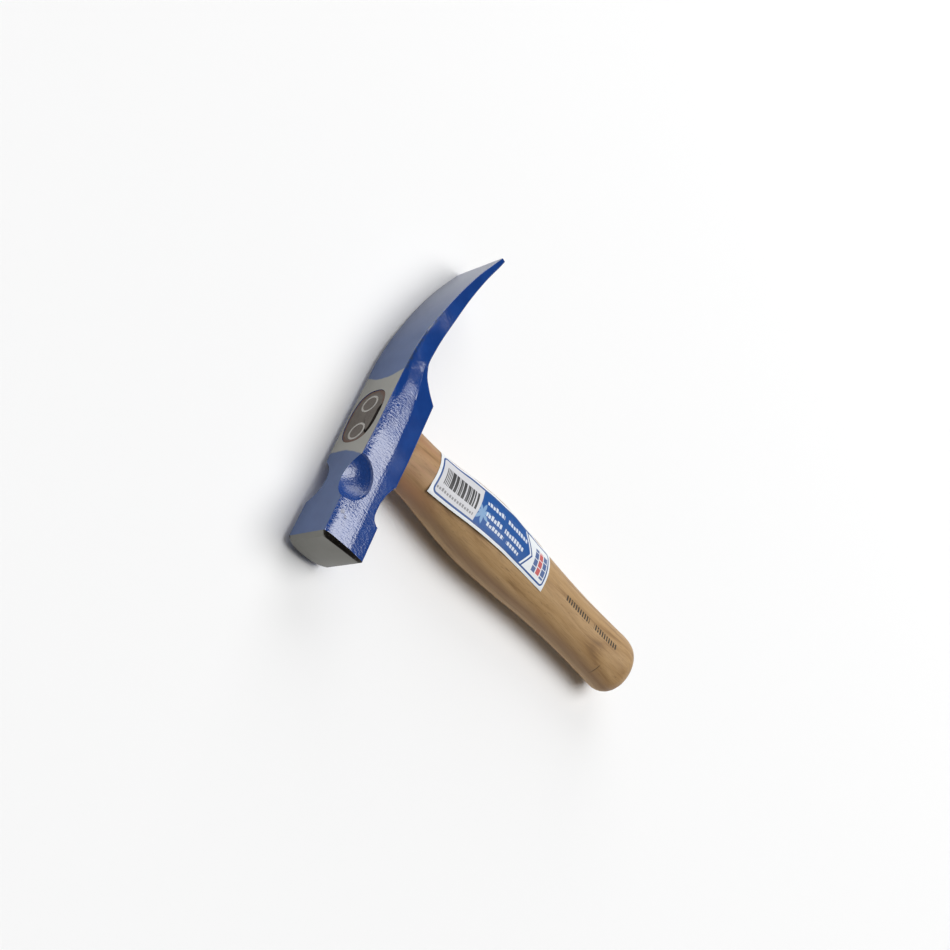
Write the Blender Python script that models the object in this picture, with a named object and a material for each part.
"""Short-pattern brick hammer: a forged steel head on an oval hickory handle.

The handle's tenon fills the eye of the head and is spread there by two steel ring wedges.
The hammer is modelled lying on its side, in metres:
  +X points from the handle towards the striking face,
  +Y runs from the crown of the head down the handle to its butt,
  +Z points up, across the cheeks of the head.
The origin is on the surface that the hammer lies on, under the middle of its bounding box.
"""
import math

import bmesh
import bpy
from mathutils import Vector

MM = 0.001

# All sizes below are in millimetres, in the hammer's own axes: x from the middle of the eye
# towards the striking face, y from the crown towards the butt, z from the mid-plane to a cheek.
CLEARANCE = 0.3

# Head, seen from the side. The crown line and the undersides are heights (y) along x.
FACE_X = 72.8
TIP_X = -144.8
BLADE_WIDEST_X = -134.0
BLADE_ROOT_X = -38.0
EAR_X = -25.9
BELLY_Y = 26.9
NOTCH_LINE = [(28.5, 26.4), (31.0, 25.4), (36.0, 23.4), (43.5, 22.0), (48.5, 22.1), (51.4, 23.4),
              (53.2, 26.2)]
CROWN_LINE = [(TIP_X, 25.9), (-118.7, 16.0), (-95.0, 9.1), (-76.0, 4.85), (-57.0, 1.35),
              (BLADE_ROOT_X, 0.0), (FACE_X, 0.0)]
BLADE_UNDERSIDE = [(TIP_X, 29.1), (-118.7, 22.2), (-95.0, 17.7), (-76.0, 15.4), (-57.0, 13.6),
                   (-45.4, 12.8), (-37.7, 15.0), (-31.1, 20.5), (EAR_X, BELLY_Y)]

# Half width of the head across its cheeks, along x, and its small edge bevels.
WIDEST = 17.9
HALF_WIDTH = [(TIP_X, 17.3), (BLADE_WIDEST_X, WIDEST), (-114.0, 17.3), (-85.5, 16.4), (-57.0, 14.6),
              (EAR_X, 14.7), (8.4, 14.7), (25.3, 14.1), (47.5, 13.7), (FACE_X, 13.6)]
CROWN_EDGE = 0.5
LOWER_EDGE = 1.0
TIP_EDGE = 0.7

# Striking face: a chamfer all round, then a crown that is fullest towards the lower cheek.
FACE_INSET = 1.7
FACE_RISE = 1.8
FACE_RISE_TILT = 0.7
FACE_CROWN = 0.8
FACE_SIDE_CROWN = 1.6

# The head's cross-sections are closed rings of points, taken every few millimetres.
SIDE_SEGMENTS = 4
BLADE_STEP = 6.0
EAR_STEP = 1.6
NOTCH_STEP = 2.0
POLL_STEP = 9.0
EDGE_STEP = 0.3

# Waist scoops: a sphere taken out of each cheek, open to the crown.
SCOOP_RADIUS = 15.0
SCOOP_X = 40.4
SCOOP_Y = -0.95
SCOOP_Z = 20.7
SCOOP_SEGMENTS = 40

# Eye, a tapered oval hole from the crown to the belly.
EYE_X = -0.4
EYE_Z = -0.95
EYE_HALF_LENGTH = 17.6
EYE_HALF_WIDTH = 11.2
EYE_TAPER = 0.2
EYE_POWER = 2.6
EYE_SEGMENTS = 48
EYE_CUT_Y = (-2.0, 32.0)

# Handle: half length along x, ratio of half thickness to half length, and centre line, along y.
TENON_TOP_Y = 0.3
TENON_END_Y = 27.3
SHOULDER_Y = 29.5
BUTT_Y = 259.4
BUTT_ROUND = 17.0
BUTT_FLAT = 0.5
BUTT_LEAN = 15.0
HANDLE_HALF_X = [(SHOULDER_Y, 17.5), (46.0, 17.9), (63.0, 19.6), (84.0, 22.2), (105.0, 23.5),
                 (132.0, 22.6), (160.0, 20.8), (195.0, 19.9), (230.0, 20.6), (BUTT_Y, 22.0)]
HANDLE_THICKNESS_RATIO = [(SHOULDER_Y, 0.66), (47.0, 0.69), (63.0, 0.715), (90.0, 0.74),
                          (BUTT_Y, 0.742)]
HANDLE_CENTRE_X = [(SHOULDER_Y, 0.7), (58.0, 0.9), (84.0, 0.3), (116.0, -0.35), (190.0, -0.55),
                   (BUTT_Y, -0.3)]
HANDLE_SEGMENTS = 40
HANDLE_STEP = 8.0

# Ring wedges, driven into the end grain.
RING_OUTER = 5.6
RING_WALL = 1.3
RING_DEPTH = 17.0
RING_LEAD = 3.0
RING_LEAD_WALL = 0.9
RING_Z = -1.2
RING_X = {"poll": 9.7, "blade": -8.75}
RING_SEGMENTS = 32

# Open seam along one side of the tenon, where the wood stands off the wall of the eye.
SEAM_X = (-7.9, 12.7)
SEAM_Z = (9.2, 12.0)
SEAM_Y = (-1.0, 7.0)

# Paper label wrapped on the upper side of the handle: its middle and half width are lengths of
# arc from the top of the oval, at its head end and at its butt end.
LABEL_Y = (47.3, 149.0)
LABEL_MIDDLE = (-0.65, -2.3)
LABEL_HALF_WIDTH = (13.45, 13.0)
LABEL_THICKNESS = 0.2
LABEL_COLUMNS = 8
LABEL_ROWS = 16
ARC_STEPS = 40

# The hammer's own axes are moved into the part's frame by this much.
LARGEST_X = FACE_X + FACE_RISE + FACE_SIDE_CROWN
SHIFT = Vector((-(LARGEST_X + TIP_X) / 2, -BUTT_Y / 2, WIDEST))


def clear_scene():
    for obj in list(bpy.data.objects):
        bpy.data.objects.remove(obj)


def to_frame(x, y, z):
    """Turn a place in the hammer's own axes (mm) into the part's frame (m)."""
    return (Vector((x, y, z)) + SHIFT) * MM


def slopes(points):
    """Slopes of a smooth curve through the points, flat at each turn so that it never overshoots."""
    steps = [(b[1] - a[1]) / (b[0] - a[0]) for a, b in zip(points, points[1:])]
    inner = []
    for left, right in zip(steps, steps[1:]):
        inner.append(0.0 if left * right <= 0 else 2 * left * right / (left + right))
    return [steps[0]] + inner + [steps[-1]]


def curve(points, at):
    """Value of the smooth curve through the points, for points in rising order."""
    tangents = slopes(points)
    at = min(max(at, points[0][0]), points[-1][0])
    for i in range(len(points) - 1):
        (x0, y0), (x1, y1) = points[i], points[i + 1]
        if at <= x1:
            break
    width = x1 - x0
    t = (at - x0) / width
    blend = t * t * (3 - 2 * t)
    start = t * (1 - t) ** 2 * width * tangents[i]
    end = t * t * (t - 1) * width * tangents[i + 1]
    return y0 + (y1 - y0) * blend + start + end


def spread(start, end, step):
    """Evenly spaced values from start to end, both included."""
    count = max(1, round(abs(end - start) / step))
    return [start + (end - start) * i / count for i in range(count + 1)]


def oval(half_x, half_z, power, segments):
    """A superellipse as (x, z) pairs."""
    ring = []
    for i in range(segments):
        angle = 2 * math.pi * i / segments
        c, s = math.cos(angle), math.sin(angle)
        ring.append((half_x * math.copysign(abs(c) ** (2 / power), c),
                     half_z * math.copysign(abs(s) ** (2 / power), s)))
    return ring


def loft(name, rings):
    """Join rings of equal length into one closed body; a ring of one point closes to it."""
    bm = bmesh.new()
    rows = [[bm.verts.new(to_frame(*point)) for point in ring] for ring in rings]
    for low, high in zip(rows, rows[1:]):
        count = max(len(low), len(high))
        for i in range(count):
            j = (i + 1) % count
            if len(low) == 1:
                bm.faces.new((low[0], high[j], high[i]))
            elif len(high) == 1:
                bm.faces.new((low[i], low[j], high[0]))
            else:
                bm.faces.new((low[i], low[j], high[j], high[i]))
    for row in (rows[0], rows[-1]):
        if len(row) > 1:
            bm.faces.new(row)
    bmesh.ops.recalc_face_normals(bm, faces=bm.faces)
    return add_object(name, bm)


def add_object(name, bm):
    mesh = bpy.data.meshes.new(name)
    bm.to_mesh(mesh)
    bm.free()
    obj = bpy.data.objects.new(name, mesh)
    bpy.context.collection.objects.link(obj)
    return obj


def finish(obj, material, sharp_degrees=32.0):
    """Give a piece its material and its smooth shading."""
    obj.data.materials.append(material)
    obj.data.shade_smooth()
    obj.data.set_sharp_from_angle(angle=math.radians(sharp_degrees))


def make_material(name, colour, roughness, metallic):
    material = bpy.data.materials.new(name)
    material.use_nodes = True
    shader = material.node_tree.nodes["Principled BSDF"]
    shader.inputs["Base Color"].default_value = (*colour, 1.0)
    shader.inputs["Roughness"].default_value = roughness
    shader.inputs["Metallic"].default_value = metallic
    return material


def cut(obj, cutter):
    """Take a cutter's shape out of a piece."""
    cutter.hide_render = True
    cutter.display_type = "WIRE"
    boolean = obj.modifiers.new(cutter.name, "BOOLEAN")
    boolean.operation = "DIFFERENCE"
    boolean.object = cutter


def underside(x):
    """The flat belly, with the blade's curve behind the ear and the notch under the poll."""
    if x < EAR_X:
        return curve(BLADE_UNDERSIDE, x)
    if NOTCH_LINE[0][0] < x < NOTCH_LINE[-1][0]:
        return curve(NOTCH_LINE, x)
    return BELLY_Y


def head_ring(x, inset=0.0):
    """Cross-section of the head at x, an oblong with its four edges taken off."""
    top = curve(CROWN_LINE, x) + inset
    bottom = underside(x) - inset
    half = curve(HALF_WIDTH, x) - inset
    upper = min(CROWN_EDGE, (bottom - top) / 4)
    lower = min(LOWER_EDGE, (bottom - top) / 4)
    outline = divided((top, upper - half), (top, half - upper))
    outline += divided((top + upper, half), (bottom - lower, half))
    outline += divided((bottom, half - lower), (bottom, lower - half))
    outline += divided((bottom - lower, -half), (top + upper, -half))
    return [(x, y, z) for y, z in outline]


def divided(start, end):
    """Points along one straight side, both ends included."""
    points = []
    for i in range(SIDE_SEGMENTS + 1):
        t = i / SIDE_SEGMENTS
        points.append((start[0] + (end[0] - start[0]) * t, start[1] + (end[1] - start[1]) * t))
    return points


def face_rings():
    """Rings that close the striking face above its chamfer, down to one middle point."""
    edge = head_ring(FACE_X, FACE_INSET)
    low_y, high_y = min(y for _, y, _ in edge), max(y for _, y, _ in edge)
    middle_y, half_y = (low_y + high_y) / 2, (high_y - low_y) / 2
    half_z = max(z for _, _, z in edge)
    rings = []
    for size in (1.0, 0.8, 0.5, 0.25):
        ring = []
        for _, y, z in edge:
            up, across = (y - middle_y) / half_y * size, z / half_z * size
            ring.append((face_height(up, across), middle_y + half_y * up, half_z * across))
        rings.append(ring)
    return rings + [[(face_height(0.0, 0.0), middle_y, 0.0)]]


def face_height(up, across):
    """Height of the face's crown, at places from -1 to 1 down the head and across it."""
    lower_side = ((1 - across) / 2) ** 2
    crown = (1 - up ** 2) * (FACE_CROWN * (1 - across ** 2) + FACE_SIDE_CROWN * lower_side)
    return FACE_X + FACE_RISE - FACE_RISE_TILT * up + crown


def make_head(material):
    notch_start, notch_end = NOTCH_LINE[0][0], NOTCH_LINE[-1][0]
    stations = (spread(TIP_X + TIP_EDGE, BLADE_WIDEST_X, BLADE_STEP)
                + spread(BLADE_WIDEST_X, BLADE_ROOT_X, BLADE_STEP)[1:]
                + spread(BLADE_ROOT_X, EAR_X, EAR_STEP)[1:]
                + spread(EAR_X, notch_start, POLL_STEP)[1:]
                + spread(notch_start + EDGE_STEP, notch_end - EDGE_STEP, NOTCH_STEP)
                + spread(notch_end, FACE_X, POLL_STEP))
    head = loft("head", [head_ring(TIP_X, TIP_EDGE)] + [head_ring(x) for x in stations] + face_rings())
    cut(head, make_eye_cutter())
    for side in (1, -1):
        cut(head, make_scoop_cutter(side))
    finish(head, material)


def eye_ring(y, shrink, segments):
    """The eye's outline, drawn in by shrink."""
    outline = oval(EYE_HALF_LENGTH - shrink, EYE_HALF_WIDTH - shrink, EYE_POWER, segments)
    return [(EYE_X + x, y, EYE_Z + z) for x, z in outline]


def make_eye_cutter():
    top_y, bottom_y = EYE_CUT_Y
    rings = [eye_ring(top_y, 0.0, EYE_SEGMENTS), eye_ring(bottom_y, EYE_TAPER, EYE_SEGMENTS)]
    return loft("eye_cutter", rings)


def make_scoop_cutter(side):
    bm = bmesh.new()
    bmesh.ops.create_uvsphere(bm, u_segments=SCOOP_SEGMENTS, v_segments=SCOOP_SEGMENTS // 2,
                              radius=SCOOP_RADIUS * MM)
    bmesh.ops.translate(bm, verts=bm.verts, vec=to_frame(SCOOP_X, SCOOP_Y, side * SCOOP_Z))
    return add_object(f"scoop_cutter_{'upper' if side > 0 else 'lower'}", bm)


def grip_ring(y, scale=1.0):
    """The grip's oval at y. As the butt draws in it also leans towards the blade side."""
    half_x = curve(HANDLE_HALF_X, y)
    half_z = half_x * curve(HANDLE_THICKNESS_RATIO, y)
    centre = curve(HANDLE_CENTRE_X, y) - BUTT_LEAN * (1 - scale)
    return [(centre + x * scale, y, z * scale) for x, z in oval(half_x, half_z, 2.0, HANDLE_SEGMENTS)]


def butt_rings():
    """The rounded end of the handle."""
    rings = []
    for degrees in (20, 40, 55, 70, 82, 90):
        angle = math.radians(degrees)
        y = BUTT_Y - BUTT_ROUND * (1 - math.sin(angle))
        rings.append(grip_ring(y, 1 - (1 - BUTT_FLAT) * (1 - math.cos(angle))))
    return rings


def make_handle(material):
    tenon_shrink = CLEARANCE + EYE_TAPER
    rings = [eye_ring(y, tenon_shrink, HANDLE_SEGMENTS) for y in (TENON_TOP_Y, TENON_END_Y)]
    rings += [grip_ring(y) for y in spread(SHOULDER_Y, BUTT_Y - BUTT_ROUND, HANDLE_STEP)]
    handle = loft("handle", rings + butt_rings())
    for side, x in RING_X.items():
        cut(handle, turned(f"groove_cutter_{side}", x, groove_profile()))
    cut(handle, make_seam_cutter())
    finish(handle, material)


def make_seam_cutter():
    low, high = SEAM_Z
    start, end = SEAM_X
    return loft("seam_cutter", [[(start, y, low), (end, y, low), (end, y, high), (start, y, high)]
                                for y in SEAM_Y])


def ring_profile():
    """Half-section of a ring wedge as (radius, y): flush end first, thin leading edge deepest."""
    inner = RING_OUTER - RING_WALL
    thinning = (RING_WALL - RING_LEAD_WALL) / 2
    lead_y = RING_DEPTH - RING_LEAD
    return [(RING_OUTER, TENON_TOP_Y), (RING_OUTER, lead_y), (RING_OUTER - thinning, RING_DEPTH),
            (inner + thinning, RING_DEPTH), (inner, lead_y), (inner, TENON_TOP_Y)]


def groove_profile():
    """Half-section of the groove that a ring wedge stands in, open at the end grain."""
    outer = RING_OUTER + CLEARANCE
    inner = RING_OUTER - RING_WALL - CLEARANCE
    bottom = RING_DEPTH + CLEARANCE
    above = TENON_TOP_Y - 1.0
    return [(outer, above), (outer, bottom), (inner, bottom), (inner, above)]


def turned(name, centre_x, profile):
    """A closed ring turned about an axis along y."""
    bm = bmesh.new()
    columns = []
    for i in range(RING_SEGMENTS):
        angle = 2 * math.pi * i / RING_SEGMENTS
        c, s = math.cos(angle), math.sin(angle)
        columns.append([bm.verts.new(to_frame(centre_x + r * c, y, RING_Z + r * s)) for r, y in profile])
    for i, column in enumerate(columns):
        beside = columns[(i + 1) % RING_SEGMENTS]
        for j in range(len(profile)):
            k = (j + 1) % len(profile)
            bm.faces.new((column[j], column[k], beside[k], beside[j]))
    bmesh.ops.recalc_face_normals(bm, faces=bm.faces)
    return add_object(name, bm)


def make_ring(side, material):
    finish(turned(f"ring_wedge_{side}_side", RING_X[side], ring_profile()), material)


def arc_angle(half_x, half_z, arc):
    """Angle from the top of an oval at which the way around it from the top is arc."""
    angle = 0.0
    for _ in range(ARC_STEPS):
        angle += arc / ARC_STEPS / math.hypot(half_x * math.cos(angle), half_z * math.sin(angle))
    return angle


def between(pair, t):
    return pair[0] + (pair[1] - pair[0]) * t


def label_point(along, across, lift):
    """A place on the label, lifted off the wood along the outward normal of the oval."""
    y = between(LABEL_Y, along)
    half_x = curve(HANDLE_HALF_X, y)
    half_z = half_x * curve(HANDLE_THICKNESS_RATIO, y)
    arc = between(LABEL_MIDDLE, along) + between(LABEL_HALF_WIDTH, along) * across
    angle = arc_angle(half_x, half_z, arc)
    sine, cosine = math.sin(angle), math.cos(angle)
    normal = Vector((sine / half_x, 0.0, cosine / half_z)).normalized()
    place = Vector((curve(HANDLE_CENTRE_X, y) + half_x * sine, y, half_z * cosine))
    return place + normal * lift


def make_label(material):
    bm = bmesh.new()
    inner, outer = [], []
    for layer, lift in ((inner, CLEARANCE), (outer, CLEARANCE + LABEL_THICKNESS)):
        for i in range(LABEL_ROWS + 1):
            places = [label_point(i / LABEL_ROWS, 2 * j / LABEL_COLUMNS - 1, lift)
                      for j in range(LABEL_COLUMNS + 1)]
            layer.append([bm.verts.new(to_frame(*place)) for place in places])
        for row, beside in zip(layer, layer[1:]):
            for j in range(LABEL_COLUMNS):
                bm.faces.new((row[j], beside[j], beside[j + 1], row[j + 1]))
    for low, high in zip(border(inner), border(outer)):
        bm.faces.new((low[0], low[1], high[1], high[0]))
    bmesh.ops.recalc_face_normals(bm, faces=bm.faces)
    finish(add_object("label", bm), material)


def border(grid):
    """The pairs of neighbouring points around a grid."""
    right = [row[-1] for row in grid]
    left = [row[0] for row in reversed(grid)]
    loop = grid[0][:-1] + right[:-1] + grid[-1][:0:-1] + left[:-1]
    return list(zip(loop, loop[1:] + loop[:1]))


def main():
    clear_scene()
    make_head(make_material("painted_forged_steel", (0.02, 0.07, 0.30), 0.3, 0.0))
    make_handle(make_material("hickory", (0.50, 0.30, 0.14), 0.45, 0.0))
    ring_steel = make_material("ring_steel", (0.42, 0.41, 0.38), 0.4, 1.0)
    for side in RING_X:
        make_ring(side, ring_steel)
    make_label(make_material("label_paper", (0.12, 0.30, 0.62), 0.4, 0.0))


main()
